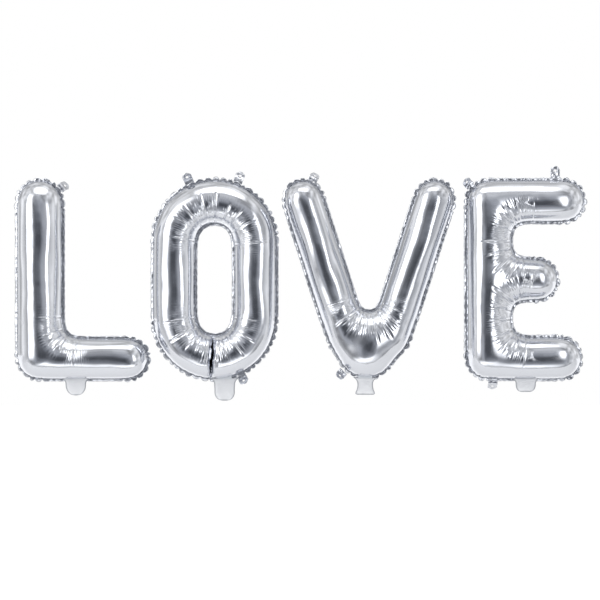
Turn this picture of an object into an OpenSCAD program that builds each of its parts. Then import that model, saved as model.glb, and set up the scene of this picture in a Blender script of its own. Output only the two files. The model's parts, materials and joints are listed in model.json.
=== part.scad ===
// Set of four foil letter balloons that spell a word.
// Each letter is two films welded round their edge, with a self-sealing valve
// in its filling tail and punched tabs to hang it by.
// X runs along the word, Y from front to back, Z up. Millimetres.

/* [Letters] */
// Height of every letter over its welded rims
letter_h = 349; // [340:1:360]
// Centre of the letter L along the word
l_x = -370; // [-376:1:-370]
// Width of the letter L over its rims
l_w = 234; // [228:1:236]
// Centre of the letter O along the word
o_x = -146; // [-150:1:-142]
// Width of the letter O over its rims
o_w = 220; // [214:1:224]
// Centre of the letter V along the word
v_x = 116; // [112:1:118]
// Width of the letter V over its rims
v_w = 300; // [292:1:304]
// Centre of the letter E along the word
e_x = 382; // [380:1:390]
// Width of the letter E over its rims
e_w = 211; // [204:1:216]

/* [Strokes] */
// Radius of the upright stroke of the L
l_stem_r = 39; // [36:0.5:40]
// Radius of the foot of the L
l_foot_r = 35; // [32:0.5:36]
// Radius of the bulge in the corner of the L
l_corner_r = 46; // [44:0.5:47]
// Radius of the ring of the O
o_ring_r = 36; // [33:0.5:37]
// Radius of the two arms of the V
v_arm_r = 33.5; // [31:0.5:35]
// Radius of the round bottom of the V
v_bottom_r = 52; // [50:0.5:54]
// Radius of the bulge where the arms of the V meet, above its round bottom
v_bulge_r = 46; // [44:0.5:48]
// Place of the round bottom of the V, to the right of the letter's centre
v_bottom_shift = -4; // [-6:0.5:2]
// Lean of the arms of the V from upright, degrees
v_lean = 17.8; // [17:0.1:18.5]
// Radius of the upright stroke of the E
e_spine_r = 38; // [35:0.5:39]
// Radius of the three arms of the E
e_arm_r = 36; // [32:0.5:37]
// Radius of the bulges where the arms of the E leave its upright stroke
e_corner_r = 43; // [40:0.5:45]
// Length by which the middle arm of the E is shorter than the top one
e_middle_short = 45; // [35:1:55]
// Length by which the bottom arm of the E is shorter than the top one
e_bottom_short = 5; // [0:1:10]

/* [Film] */
// Thickness of one film panel as modelled
film_t = 0.8; // [0.6:0.1:1]
// Thickness of the welded rim, both films together
rim_t = 1; // [0.8:0.1:1.2]
// Width of the welded rim outside the inflated body
rim_w = 5; // [4:0.5:6]

/* [Filling tail and valve] */
// Width of the filling tail
tail_w = 38; // [34:1:42]
// Length of the L's filling tail below the rim
l_tail_h = 24; // [18:1:33]
// Length of the O's filling tail, the longest
o_tail_h = 33; // [33:1:36]
// Length of the V's filling tail
v_tail_h = 23; // [18:1:33]
// Length of the E's filling tail
e_tail_h = 18; // [16:1:33]
// Thickness of the filling tail, both films together
tail_t = 1.4; // [1.2:0.1:1.6]
// Width of the valve sleeve
valve_w = 24; // [20:1:28]
// Length of the valve sleeve above the rim's edge
valve_h = 62; // [50:1:66]
// Place of the L's tail, to the right of the letter's centre
l_tail_shift = -12; // [-20:1:0]
// Place of the O's tail, to the right of the letter's centre
o_tail_shift = 17; // [10:1:20]
// Place of the V's tail, to the right of the letter's centre
v_tail_shift = -6; // [-10:1:0]
// Place of the E's tail, to the right of the letter's centre
e_tail_shift = 1; // [-5:1:10]

/* [Hanging tabs] */
// Radius of a tab's round end
tab_r = 8; // [7:0.5:9]
// Radius of the punched hole in a tab
tab_hole_r = 2.2; // [2:0.1:2.5]
// Distance from the rim's edge to the centre of the hole
tab_reach = 11; // [10:0.5:12]
// Depth by which a tab's root runs into the curve of the rim
tab_root = 3; // [2:0.5:4]
// Direction of the tab of the L, degrees from up and clockwise seen from the front
l_hanging_angle = 54; // [45:1:60]
// Direction of the left tab of the O
o_left_angle = -23; // [-30:1:-15]
// Direction of the right tab of the O
o_right_angle = 21; // [15:1:30]
// Direction of the lower tab of the O
o_lower_angle = 155; // [150:1:160]
// Direction of the tab at the top of the V
v_hanging_angle = 26; // [15:1:35]
// Direction of the lower tab of the V
v_lower_angle = 225; // [220:1:235]
// Direction of the corner tab of the E
e_corner_angle = -48; // [-60:1:-35]
// Direction of the lower tab of the E
e_lower_angle = 172; // [168:1:180]
// Place of the tab on the top arm of the E, to the right of the letter's centre
e_hanging_shift = 51; // [40:1:60]

/* [Hidden] */
$fn = 96;

film_color = [0.78, 0.79, 0.81];
rim_color = [0.70, 0.71, 0.74];
valve_color = [0.86, 0.88, 0.90];

hinge_gap = 1.2;                       // free strip of film at the root of a tail
slit_t = 0.4;                          // height of the passage through a tail or a valve
slit_w = 16;                           // width of that passage
// Raises the letters so that the tabs above and the longest tail below balance about the origin
tab_over_tail = (o_tail_h + hinge_gap - tab_reach - tab_r) / 2;
top_z = letter_h / 2 + tab_over_tail;  // outer edge of the rims at the top
bottom_z = top_z - letter_h;           // outer edge of the rims at the bottom
reach = 700;                           // larger than the whole word
bulge_shift = 12;                      // moves a corner's bulge from the strokes' axes into its fillet
v_foot_rise = 75;                      // height of the lower ends of the V's arms above the rims' lower edge
v_bulge_rise = 17;                     // height of the V's bulge above the centre of its round bottom
past = 1;                              // lets a cut run past the faces that it opens
valve_gate_h = 17;                     // height of the gap in the rim that the valve passes through
slit_stop = 4;                         // length of the tail's film between its passage and its fold

// ---- Skeletons: the centre line of every stroke, as [x, z] points ----
l_left = l_x - l_w / 2 + rim_w;
l_stem_x = l_left + l_stem_r;
l_stem_top = [l_stem_x, top_z - rim_w - l_stem_r];
l_stem_foot = [l_stem_x, bottom_z + rim_w + l_stem_r];
l_foot_z = bottom_z + rim_w + l_foot_r;
l_foot_start = [l_stem_x, l_foot_z];
l_foot_end = [l_x + l_w / 2 - rim_w - l_foot_r, l_foot_z];
l_corner = [l_stem_x + bulge_shift, l_foot_z + bulge_shift];

o_bend_r = o_w / 2 - rim_w - o_ring_r;
o_top_z = top_z - rim_w - o_ring_r - o_bend_r;
o_bottom_z = bottom_z + rim_w + o_ring_r + o_bend_r;

v_top_z = top_z - rim_w - v_arm_r;
v_foot_z = bottom_z + v_foot_rise;
v_spread = v_w / 2 - rim_w - v_arm_r;
v_foot_spread = v_spread - (v_top_z - v_foot_z) * tan(v_lean);
v_bottom = [v_x + v_bottom_shift, bottom_z + rim_w + v_bottom_r];
v_bulge = [v_x, v_bottom[1] + v_bulge_rise];

e_left = e_x - e_w / 2 + rim_w;
e_spine_x = e_left + e_spine_r;
e_top_z = top_z - rim_w - e_arm_r;
e_bottom_z = bottom_z + rim_w + e_arm_r;
e_mid_z = (e_top_z + e_bottom_z) / 2;
e_arm_end_x = e_x + e_w / 2 - rim_w - e_arm_r;
e_spine_top = [e_spine_x, top_z - rim_w - e_spine_r];
e_spine_bottom = [e_spine_x, bottom_z + rim_w + e_spine_r];

// Where each filling tail leaves the rim
l_tail_x = l_x + l_tail_shift;
o_tail_x = o_x + o_tail_shift;
v_tail_x = v_x + v_tail_shift;
e_tail_x = e_x + e_tail_shift;

// ---- Tabs: [root x, root z, direction in degrees from up, clockwise seen from the front] ----
function on_round(centre, r, angle) = [
    centre[0] + (r + rim_w) * sin(angle), centre[1] + (r + rim_w) * cos(angle), angle];
o_outer_r = o_bend_r + o_ring_r;
l_hanging = on_round(l_stem_top, l_stem_r, l_hanging_angle);
o_hanging_left = on_round([o_x, o_top_z], o_outer_r, o_left_angle);
o_hanging_right = on_round([o_x, o_top_z], o_outer_r, o_right_angle);
o_lower = on_round([o_x, o_bottom_z], o_outer_r, o_lower_angle);
v_hanging = on_round([v_x - v_spread, v_top_z], v_arm_r, v_hanging_angle);
v_lower = on_round(v_bottom, v_bottom_r, v_lower_angle);
e_hanging = [e_x + e_hanging_shift, top_z, 0];
e_corner = on_round(e_spine_top, e_spine_r, e_corner_angle);
e_lower = on_round(e_spine_bottom, e_spine_r, e_lower_angle);

// ---- Shapes ----
// Stroke of an inflated letter: a round tube with round ends
module tube(a, b, r) {
    run = b - a;
    translate([a[0], 0, a[1]]) rotate([0, atan2(run[0], run[1]), 0]) {
        cylinder(h = norm(run), r = r);
        sphere(r = r);
        translate([0, 0, norm(run)]) sphere(r = r);
    }
}

module ball(at, r) {
    translate([at[0], 0, at[1]]) sphere(r = r);
}

// The same stroke drawn flat, for the rims
module stroke(a, b, r) {
    run = b - a;
    translate(a) rotate(-atan2(run[0], run[1])) {
        translate([-r, 0]) square([2 * r, norm(run)]);
        circle(r = r);
        translate([0, norm(run)]) circle(r = r);
    }
}

module l_body(grow) {
    tube(l_stem_foot, l_stem_top, l_stem_r + grow);
    tube(l_foot_start, l_foot_end, l_foot_r + grow);
    ball(l_corner, l_corner_r + grow);
}

module l_outline(grow) {
    stroke(l_stem_foot, l_stem_top, l_stem_r + grow);
    stroke(l_foot_start, l_foot_end, l_foot_r + grow);
    translate(l_corner) circle(r = l_corner_r + grow);
}

module o_bend(z, turn, r) {
    translate([o_x, 0, z]) rotate([0, turn, 0]) rotate([90, 0, 0])
        rotate_extrude(angle = 180) translate([o_bend_r, 0]) circle(r = r);
}

module o_body(grow) {
    o_bend(o_top_z, 0, o_ring_r + grow);
    o_bend(o_bottom_z, 180, o_ring_r + grow);
    for (side = [-1, 1])
        translate([o_x + side * o_bend_r, 0, o_bottom_z])
            cylinder(h = o_top_z - o_bottom_z, r = o_ring_r + grow);
}

// The O's outer edge, filled in; its hole has a rim of its own
module o_outline(grow) {
    stroke([o_x, o_bottom_z], [o_x, o_top_z], o_outer_r + grow);
}

module o_hole(shrink) {
    stroke([o_x, o_bottom_z], [o_x, o_top_z], o_bend_r - o_ring_r - shrink);
}

module v_body(grow) {
    for (side = [-1, 1])
        tube([v_x + side * v_foot_spread, v_foot_z], [v_x + side * v_spread, v_top_z], v_arm_r + grow);
    ball(v_bottom, v_bottom_r + grow);
    ball(v_bulge, v_bulge_r + grow);
}

module v_outline(grow) {
    for (side = [-1, 1])
        stroke([v_x + side * v_foot_spread, v_foot_z], [v_x + side * v_spread, v_top_z], v_arm_r + grow);
    translate(v_bottom) circle(r = v_bottom_r + grow);
    translate(v_bulge) circle(r = v_bulge_r + grow);
}

// The three arms of the E, as [height, length] pairs
e_arms = [
    [e_top_z, e_arm_end_x - e_spine_x],
    [e_mid_z, e_arm_end_x - e_middle_short - e_spine_x],
    [e_bottom_z, e_arm_end_x - e_bottom_short - e_spine_x],
];

// Bulges that fill the inner corners of the E, above and below each arm
e_bulges = [
    [e_spine_x + bulge_shift, e_top_z - bulge_shift],
    [e_spine_x + bulge_shift, e_mid_z + bulge_shift / 2],
    [e_spine_x + bulge_shift, e_mid_z - bulge_shift / 2],
    [e_spine_x + bulge_shift, e_bottom_z + bulge_shift],
];

module e_body(grow) {
    tube(e_spine_bottom, e_spine_top, e_spine_r + grow);
    for (arm = e_arms)
        tube([e_spine_x, arm[0]], [e_spine_x + arm[1], arm[0]], e_arm_r + grow);
    for (bulge = e_bulges)
        ball(bulge, e_corner_r + grow);
}

module e_outline(grow) {
    stroke(e_spine_bottom, e_spine_top, e_spine_r + grow);
    for (arm = e_arms)
        stroke([e_spine_x, arm[0]], [e_spine_x + arm[1], arm[0]], e_arm_r + grow);
    for (bulge = e_bulges)
        translate(bulge) circle(r = e_corner_r + grow);
}

module body(letter, grow) {
    if (letter == "l") l_body(grow);
    if (letter == "o") o_body(grow);
    if (letter == "v") v_body(grow);
    if (letter == "e") e_body(grow);
}

module outline(letter, grow) {
    if (letter == "l") l_outline(grow);
    if (letter == "o") o_outline(grow);
    if (letter == "v") v_outline(grow);
    if (letter == "e") e_outline(grow);
}

// Flat sheet standing in the plane of the rims, centred on it
module standing(thickness) {
    rotate([90, 0, 0]) linear_extrude(height = thickness, center = true) children();
}

// ---- Pieces ----
// One film panel, side -1 in front and 1 behind
module panel(letter, side) {
    color(film_color) intersection() {
        difference() {
            body(letter, 0);
            body(letter, -film_t);
        }
        translate([-reach, side < 0 ? -reach : rim_t / 2, -reach])
            cube([2 * reach, reach - (side < 0 ? rim_t / 2 : 0), 2 * reach]);
    }
}

module front_panel(letter) {
    panel(letter, -1);
}

module back_panel(letter) {
    panel(letter, 1);
}

// Band where both films are welded, round the letter's edge, left open where the valve passes
module welded_rim(letter, tail_x) {
    color(rim_color) standing(rim_t) difference() {
        outline(letter, rim_w);
        outline(letter, -film_t);
        translate([tail_x - valve_w / 2, bottom_z - past]) square([valve_w, valve_gate_h + past]);
    }
}

// Band where both films are welded round the O's hole
module hole_rim() {
    color(rim_color) standing(rim_t) difference() {
        o_hole(-film_t);
        o_hole(rim_w);
    }
}

// Flat sleeve that closes itself under pressure, from the rim's edge up into the letter
module valve_sleeve(tail_x) {
    color(valve_color) difference() {
        translate([tail_x - valve_w / 2, -rim_t / 2, bottom_z]) cube([valve_w, rim_t, valve_h]);
        translate([tail_x - slit_w / 2, -slit_t / 2, bottom_z - past])
            cube([slit_w, slit_t, valve_h + 2 * past]);
    }
}

// Flat neck with rounded corners, open at its mouth, and a round bead where it folds
module filling_tail(tail_x, tail_h) {
    corner_r = min(tail_w / 3, tail_h / 2);
    root_z = bottom_z - hinge_gap;
    color(film_color) {
        difference() {
            standing(tail_t) {
                translate([tail_x - tail_w / 2, root_z - tail_h + corner_r])
                    square([tail_w, tail_h - corner_r]);
                translate([tail_x - tail_w / 2 + corner_r, root_z - tail_h])
                    square([tail_w - 2 * corner_r, tail_h]);
                for (side = [-1, 1])
                    translate([tail_x + side * (tail_w / 2 - corner_r), root_z - tail_h + corner_r])
                        circle(r = corner_r);
            }
            translate([tail_x - slit_w / 2, -slit_t / 2, root_z - tail_h - past])
                cube([slit_w, slit_t, tail_h + past - slit_stop]);
        }
        translate([tail_x - tail_w / 2, 0, root_z]) rotate([0, 90, 0])
            cylinder(h = tail_w, r = tail_t / 2);
    }
}

// Punched tab, cut to the curve of the rim that it grows from
module tab(letter, at) {
    color(rim_color) standing(rim_t) difference() {
        translate([at[0], at[1]]) rotate(-at[2]) {
            translate([0, tab_reach]) circle(r = tab_r);
            translate([-tab_r, -tab_root]) square([2 * tab_r, tab_reach + tab_root]);
        }
        outline(letter, rim_w);
        translate([at[0], at[1]]) rotate(-at[2]) translate([0, tab_reach]) circle(r = tab_hole_r);
    }
}

front_panel("l");  // l_front_panel
back_panel("l");  // l_back_panel
welded_rim("l", l_tail_x);  // l_welded_rim
valve_sleeve(l_tail_x);  // l_valve_sleeve
filling_tail(l_tail_x, l_tail_h);  // l_filling_tail
tab("l", l_hanging);  // l_hanging_tab

front_panel("o");  // o_front_panel
back_panel("o");  // o_back_panel
welded_rim("o", o_tail_x);  // o_outer_rim
hole_rim();  // o_inner_rim
valve_sleeve(o_tail_x);  // o_valve_sleeve
filling_tail(o_tail_x, o_tail_h);  // o_filling_tail
tab("o", o_hanging_left);  // o_hanging_tab_left
tab("o", o_hanging_right);  // o_hanging_tab_right
tab("o", o_lower);  // o_lower_tab

front_panel("v");  // v_front_panel
back_panel("v");  // v_back_panel
welded_rim("v", v_tail_x);  // v_welded_rim
valve_sleeve(v_tail_x);  // v_valve_sleeve
filling_tail(v_tail_x, v_tail_h);  // v_filling_tail
tab("v", v_hanging);  // v_hanging_tab
tab("v", v_lower);  // v_lower_tab

front_panel("e");  // e_front_panel
back_panel("e");  // e_back_panel
welded_rim("e", e_tail_x);  // e_welded_rim
valve_sleeve(e_tail_x);  // e_valve_sleeve
filling_tail(e_tail_x, e_tail_h);  // e_filling_tail
tab("e", e_hanging);  // e_hanging_tab
tab("e", e_corner);  // e_corner_tab
tab("e", e_lower);  // e_lower_tab
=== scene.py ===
"""Set of four inflated foil letter balloons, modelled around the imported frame."""

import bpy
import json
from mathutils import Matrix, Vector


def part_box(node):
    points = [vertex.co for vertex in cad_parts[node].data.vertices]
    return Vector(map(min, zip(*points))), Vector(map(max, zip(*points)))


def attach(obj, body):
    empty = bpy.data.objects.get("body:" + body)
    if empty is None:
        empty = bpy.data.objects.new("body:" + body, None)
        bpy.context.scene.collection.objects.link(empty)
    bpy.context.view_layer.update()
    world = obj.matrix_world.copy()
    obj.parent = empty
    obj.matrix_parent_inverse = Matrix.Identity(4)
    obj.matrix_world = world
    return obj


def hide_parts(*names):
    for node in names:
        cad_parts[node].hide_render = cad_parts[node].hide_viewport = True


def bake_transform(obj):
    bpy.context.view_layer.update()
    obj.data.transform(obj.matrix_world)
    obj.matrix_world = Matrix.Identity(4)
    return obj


bl_info = {
    "name": "Foil letter balloons",
    "version": (1, 0, 0),
    "blender": (4, 5, 0),
    "location": "View3D > Sidebar > Balloons",
    "description": "Builds inflated foil letters with welded rims, punched tabs and filling tails",
    "category": "Add Mesh",
}

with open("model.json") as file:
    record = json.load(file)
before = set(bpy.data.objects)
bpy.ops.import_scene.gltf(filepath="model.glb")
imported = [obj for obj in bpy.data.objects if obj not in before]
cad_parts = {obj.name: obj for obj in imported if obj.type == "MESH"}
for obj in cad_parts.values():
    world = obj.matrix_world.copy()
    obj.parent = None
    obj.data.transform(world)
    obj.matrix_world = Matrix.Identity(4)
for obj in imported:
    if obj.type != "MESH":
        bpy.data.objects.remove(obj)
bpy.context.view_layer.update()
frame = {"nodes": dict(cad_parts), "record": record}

import json
import math
import random

import bmesh
import bpy
from mathutils import Matrix, Vector, noise
from mathutils.bvhtree import BVHTree
from mathutils.kdtree import KDTree

MM = 0.001
LETTERS = "love"
RIM_NODE = {"l": "l_welded_rim", "o": "o_outer_rim", "v": "v_welded_rim", "e": "e_welded_rim"}
FRONT, BACK = 0, 1
UP = Vector((0, 0, 1))
# Points round a full circle
ROUND = 48


# ---------------------------------------------------------------- settings


class BalloonSizes(bpy.types.PropertyGroup):
    """Sizes of the letters' strokes and of their film"""

    l_stem_r: bpy.props.FloatProperty(
        name="L stem radius", description="Radius of the upright stroke of the L",
        default=39 * MM, unit="LENGTH")
    l_foot_r: bpy.props.FloatProperty(
        name="L foot radius", description="Radius of the foot of the L",
        default=35 * MM, unit="LENGTH")
    o_ring_r: bpy.props.FloatProperty(
        name="O ring radius", description="Radius of the ring of the O",
        default=36 * MM, unit="LENGTH")
    v_arm_r: bpy.props.FloatProperty(
        name="V arm radius", description="Radius of the two arms of the V",
        default=33.5 * MM, unit="LENGTH")
    v_lean: bpy.props.FloatProperty(
        name="V lean", description="Lean of the arms of the V from upright",
        default=math.radians(17.8), subtype="ANGLE")
    e_spine_r: bpy.props.FloatProperty(
        name="E spine radius", description="Radius of the upright stroke of the E",
        default=38 * MM, unit="LENGTH")
    e_arm_r: bpy.props.FloatProperty(
        name="E arm radius", description="Radius of the three arms of the E",
        default=36 * MM, unit="LENGTH")
    rim_w: bpy.props.FloatProperty(
        name="Rim width", description="Width of the welded rim outside the inflated body",
        default=5 * MM, unit="LENGTH")
    rim_t: bpy.props.FloatProperty(
        name="Rim thickness", description="Thickness of the welded rim, both films together",
        default=0.3 * MM, unit="LENGTH")
    film_t: bpy.props.FloatProperty(
        name="Film thickness", description="Thickness given to one film panel",
        default=0.3 * MM, unit="LENGTH")
    scallop: bpy.props.FloatProperty(
        name="Scallop pitch", description="Distance between two notches of the rim round an end",
        default=12.5 * MM, unit="LENGTH")
    lobe: bpy.props.FloatProperty(
        name="Scallop height", description="How far a lobe of the rim stands out past its notches",
        default=4.8 * MM, unit="LENGTH")
    crease_turn: bpy.props.FloatProperty(
        name="Crease spacing", description="Angle between two long creases at an inner corner",
        default=math.radians(19), subtype="ANGLE")
    crease_reach: bpy.props.FloatProperty(
        name="Crease length", description="Greatest length of a long crease at an inner corner",
        default=70 * MM, unit="LENGTH")
    crease_w: bpy.props.FloatProperty(
        name="Crease half width", description="Half the width of a long crease",
        default=2.4 * MM, unit="LENGTH")
    crease_depth: bpy.props.FloatProperty(
        name="Crease depth", description="Greatest depth of a long crease",
        default=1.6 * MM, unit="LENGTH")
    sway: bpy.props.FloatProperty(
        name="Unevenness", description="How far the film swells and dips along its strokes",
        default=3.2 * MM, unit="LENGTH")
    cell: bpy.props.FloatProperty(
        name="Mesh size", description="Edge length of the film's mesh before it is subdivided",
        default=3.6 * MM, unit="LENGTH")


class InflateSettings(bpy.types.PropertyGroup):
    """How hard the film is blown up, and how stiff it is"""

    pressure: bpy.props.FloatProperty(
        name="Pressure", description="Pressure of the gas in the balloon", default=9.0)
    stiffness: bpy.props.FloatProperty(
        name="Stiffness", description="How little the film stretches", default=80.0)
    bending: bpy.props.FloatProperty(
        name="Bending", description="How little the film bends", default=0.08)
    slack: bpy.props.FloatProperty(
        name="Slack", description="Spare film round an end, as a share of its size", default=0.06)
    frames: bpy.props.IntProperty(
        name="Frames", description="Steps of the simulation", default=14)


class FinishColours(bpy.types.PropertyGroup):
    """Colours of the films"""

    film: bpy.props.StringProperty(
        name="Film", description="Colour of the metallised film, sRGB hex", default="#DCDEE3")
    weld: bpy.props.StringProperty(
        name="Weld", description="Colour of the welded rim, sRGB hex", default="#D6D8DD")
    tail: bpy.props.StringProperty(
        name="Tail", description="Colour of the tails' slack film, sRGB hex", default="#F6F7F9")
    tail_weld: bpy.props.StringProperty(
        name="Tail weld", description="Colour of the tails' welded edge, sRGB hex",
        default="#8F939B")
    valve: bpy.props.StringProperty(
        name="Valve", description="Colour of the clear valve film, sRGB hex", default="#E6EAEE")
    floor: bpy.props.StringProperty(
        name="Floor", description="Colour of the floor, sRGB hex", default="#F4F4F4")


# ---------------------------------------------------------------- letters


def rim_box(letter, sizes):
    """Lowest and highest x and z of the inflated body inside a letter's rim."""
    low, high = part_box(RIM_NODE[letter])
    w = sizes.rim_w
    return low.x + w, high.x - w, low.z + w, high.z - w


def flat(x, z):
    return Vector((x, 0, z))


def l_strokes(sizes):
    """Strokes of the L as [start, end, radius, share of the radius that it stands out in front]."""
    left, right, bottom, top = rim_box("l", sizes)
    stem_x, foot_z = left + sizes.l_stem_r, bottom + sizes.l_foot_r
    corner_shift, corner_r, corner_depth = 12 * MM, 45 * MM, 0.84
    corner = flat(stem_x + corner_shift, foot_z + corner_shift)
    stem_foot = flat(stem_x, bottom + sizes.l_stem_r)
    return [
        [stem_foot, flat(stem_x, top - sizes.l_stem_r), sizes.l_stem_r, 1],
        [flat(stem_x, foot_z), flat(right - sizes.l_foot_r, foot_z), sizes.l_foot_r, 1],
        [corner, corner, corner_r, corner_depth],
    ]


def v_strokes(sizes):
    """Strokes of the V, with the bulge where its arms meet."""
    left, right, bottom, top = rim_box("v", sizes)
    r = sizes.v_arm_r
    middle, spread = (left + right) / 2, (right - left) / 2 - r
    arm_rise = 70 * MM
    tip_r, tip_depth, tip_shift = 52 * MM, 0.74, -4 * MM
    bulge_r, bulge_depth, bulge_rise = 45 * MM, 0.86, 17 * MM
    low, high = bottom + arm_rise, top - r
    foot = spread - (high - low) * math.tan(sizes.v_lean)
    tip = flat(middle + tip_shift, bottom + tip_r)
    bulge = flat(middle, tip.z + bulge_rise)
    return [
        [flat(middle - foot, low), flat(middle - spread, high), r, 1],
        [flat(middle + foot, low), flat(middle + spread, high), r, 1],
        [tip, tip, tip_r, tip_depth],
        [bulge, bulge, bulge_r, bulge_depth],
    ]


def e_strokes(sizes):
    """Strokes of the E, with the bulges that fill its inner corners."""
    left, right, bottom, top = rim_box("e", sizes)
    spine_r, r = sizes.e_spine_r, sizes.e_arm_r
    spine_x = left + spine_r
    middle_short, low_short = 45 * MM, 5 * MM
    bulge_shift, bulge_r, bulge_depth = 12 * MM, 42 * MM, 0.88
    end, high, low = right - r, top - r, bottom + r
    middle = (high + low) / 2
    strokes = [
        [flat(spine_x, bottom + spine_r), flat(spine_x, top - spine_r), spine_r, 1],
        [flat(spine_x, high), flat(end, high), r, 1],
        [flat(spine_x, middle), flat(end - middle_short, middle), r, 1],
        [flat(spine_x, low), flat(end - low_short, low), r, 1],
    ]
    near_middle = bulge_shift / 2
    for z in (high - bulge_shift, middle + near_middle, middle - near_middle, low + bulge_shift):
        bulge = flat(spine_x + bulge_shift, z)
        strokes.append([bulge, bulge, bulge_r, bulge_depth])
    return strokes


STROKES = {"l": l_strokes, "v": v_strokes, "e": e_strokes}


# ---------------------------------------------------------------- mesh helpers


def add_stroke(bm, start, end, radius, depth):
    """Adds a closed tube with round ends, or a flattened ball where both ends are one point."""
    along = end - start
    turn = along.to_track_quat("Z", "Y").to_matrix().to_4x4()
    part = bmesh.new()
    for point in {tuple(start), tuple(end)}:
        bmesh.ops.create_uvsphere(
            part, u_segments=ROUND, v_segments=ROUND // 2, radius=radius,
            matrix=Matrix.Translation(point) @ Matrix.Diagonal((1, depth, 1, 1)) @ turn)
    if along.length > 0:
        bmesh.ops.create_cone(
            part, cap_ends=True, segments=ROUND, radius1=radius, radius2=radius,
            depth=along.length, matrix=Matrix.Translation((start + end) / 2) @ turn)
    mesh = bpy.data.meshes.new("stroke")
    part.to_mesh(mesh)
    part.free()
    bm.from_mesh(mesh)
    bpy.data.meshes.remove(mesh)


def add_ring(bm, sizes):
    """Adds the O's closed ring: a circle swept up, over, down and round under."""
    left, right, bottom, top = rim_box("o", sizes)
    r, steps, same = sizes.o_ring_r, 30, 0.1 * MM
    middle, bend = (left + right) / 2, (right - left) / 2 - r
    high, low = top - r - bend, bottom + r + bend
    bmesh.ops.create_circle(
        bm, segments=ROUND, radius=r, matrix=Matrix.Translation((middle + bend, 0, low)))
    edges = bm.edges[:]
    for rise, centre in ((high - low, high), (low - high, low)):
        made = bmesh.ops.extrude_edge_only(bm, edges=edges)["geom"]
        moved = [g for g in made if isinstance(g, bmesh.types.BMVert)]
        bmesh.ops.translate(bm, verts=moved, vec=rise * UP)
        ends = set(moved)
        edges = [g for g in made if isinstance(g, bmesh.types.BMEdge) and ends.issuperset(g.verts)]
        swept = bmesh.ops.spin(
            bm, geom=edges, cent=flat(middle, centre), axis=(0, -1, 0), angle=math.pi, steps=steps)
        edges = [g for g in swept["geom_last"] if isinstance(g, bmesh.types.BMEdge)]
    bmesh.ops.remove_doubles(bm, verts=bm.verts, dist=same)
    bmesh.ops.recalc_face_normals(bm, faces=bm.faces)


def new_object(name, bm):
    """Makes a linked object with smooth faces from a bmesh, and frees the bmesh."""
    mesh = bpy.data.meshes.new(name)
    bm.to_mesh(mesh)
    bm.free()
    mesh.shade_smooth()
    piece = bpy.data.objects.new(name, mesh)
    bpy.context.scene.collection.objects.link(piece)
    return piece


def apply_modifiers(piece):
    """Turns a piece's modifiers into its mesh."""
    graph = bpy.context.evaluated_depsgraph_get()
    done = bpy.data.meshes.new_from_object(piece.evaluated_get(graph))
    piece.modifiers.clear()
    old, piece.data = piece.data, done
    bpy.data.meshes.remove(old)


def smooth(bm, verts, times):
    """Evens out the vertices, half way to their neighbours' middle each time."""
    for _ in range(times):
        bmesh.ops.smooth_vert(
            bm, verts=verts, factor=0.5, use_axis_x=True, use_axis_y=True, use_axis_z=True)


def extruded(bm, row, edges):
    """Extrudes a row of edges in place, and gives its new vertices in the old order, and its edges."""
    made = bmesh.ops.extrude_edge_only(bm, edges=edges)["geom"]
    fresh = {tuple(g.co): g for g in made if isinstance(g, bmesh.types.BMVert)}
    outer = set(fresh.values())
    edges = [g for g in made if isinstance(g, bmesh.types.BMEdge) and outer.issuperset(g.verts)]
    return [fresh[tuple(v.co)] for v in row], edges


def seam_loops(bm, edges):
    """Closed loops of vertices, each in order, that the edges make."""
    nexts = {}
    for edge in edges:
        a, b = edge.verts
        nexts.setdefault(a, []).append(b)
        nexts.setdefault(b, []).append(a)
    loops, left = [], dict.fromkeys(nexts)
    while left:
        vert = next(iter(left))
        loop = []
        while vert is not None:
            loop.append(vert)
            left.pop(vert)
            vert = next((v for v in nexts[vert] if v in left), None)
        loops.append(loop)
    return loops


# ---------------------------------------------------------------- seam


def ramp(value, low, high):
    """0 at low, 1 at high and beyond, straight between."""
    return max(0.0, min(1.0, (value - low) / (high - low)))


def outward(turn):
    """Share of an outer bend that a place on the seam is in, from how far the seam turns there."""
    return ramp(turn, 0.03, 0.13)


def evened(values, half):
    """Running mean of a closed row of values over that many on each side."""
    count, span = len(values), range(-half, half + 1)
    return [sum(values[(i + k) % count] for k in span) / (2 * half + 1) for i in range(count)]


class Line:
    """A row of points in the plane y = 0, with the distance along it to each."""

    def __init__(self, points, closed):
        self.points = points
        self.tree = KDTree(len(points))
        for i, point in enumerate(points):
            self.tree.insert(point, i)
        self.tree.balance()
        self.places = [0.0]
        for a, b in zip(points, points[1:] + points[:1]):
            self.places.append(self.places[-1] + (b - a).length)
        self.length = self.places[-1 if closed else -2]


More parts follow.
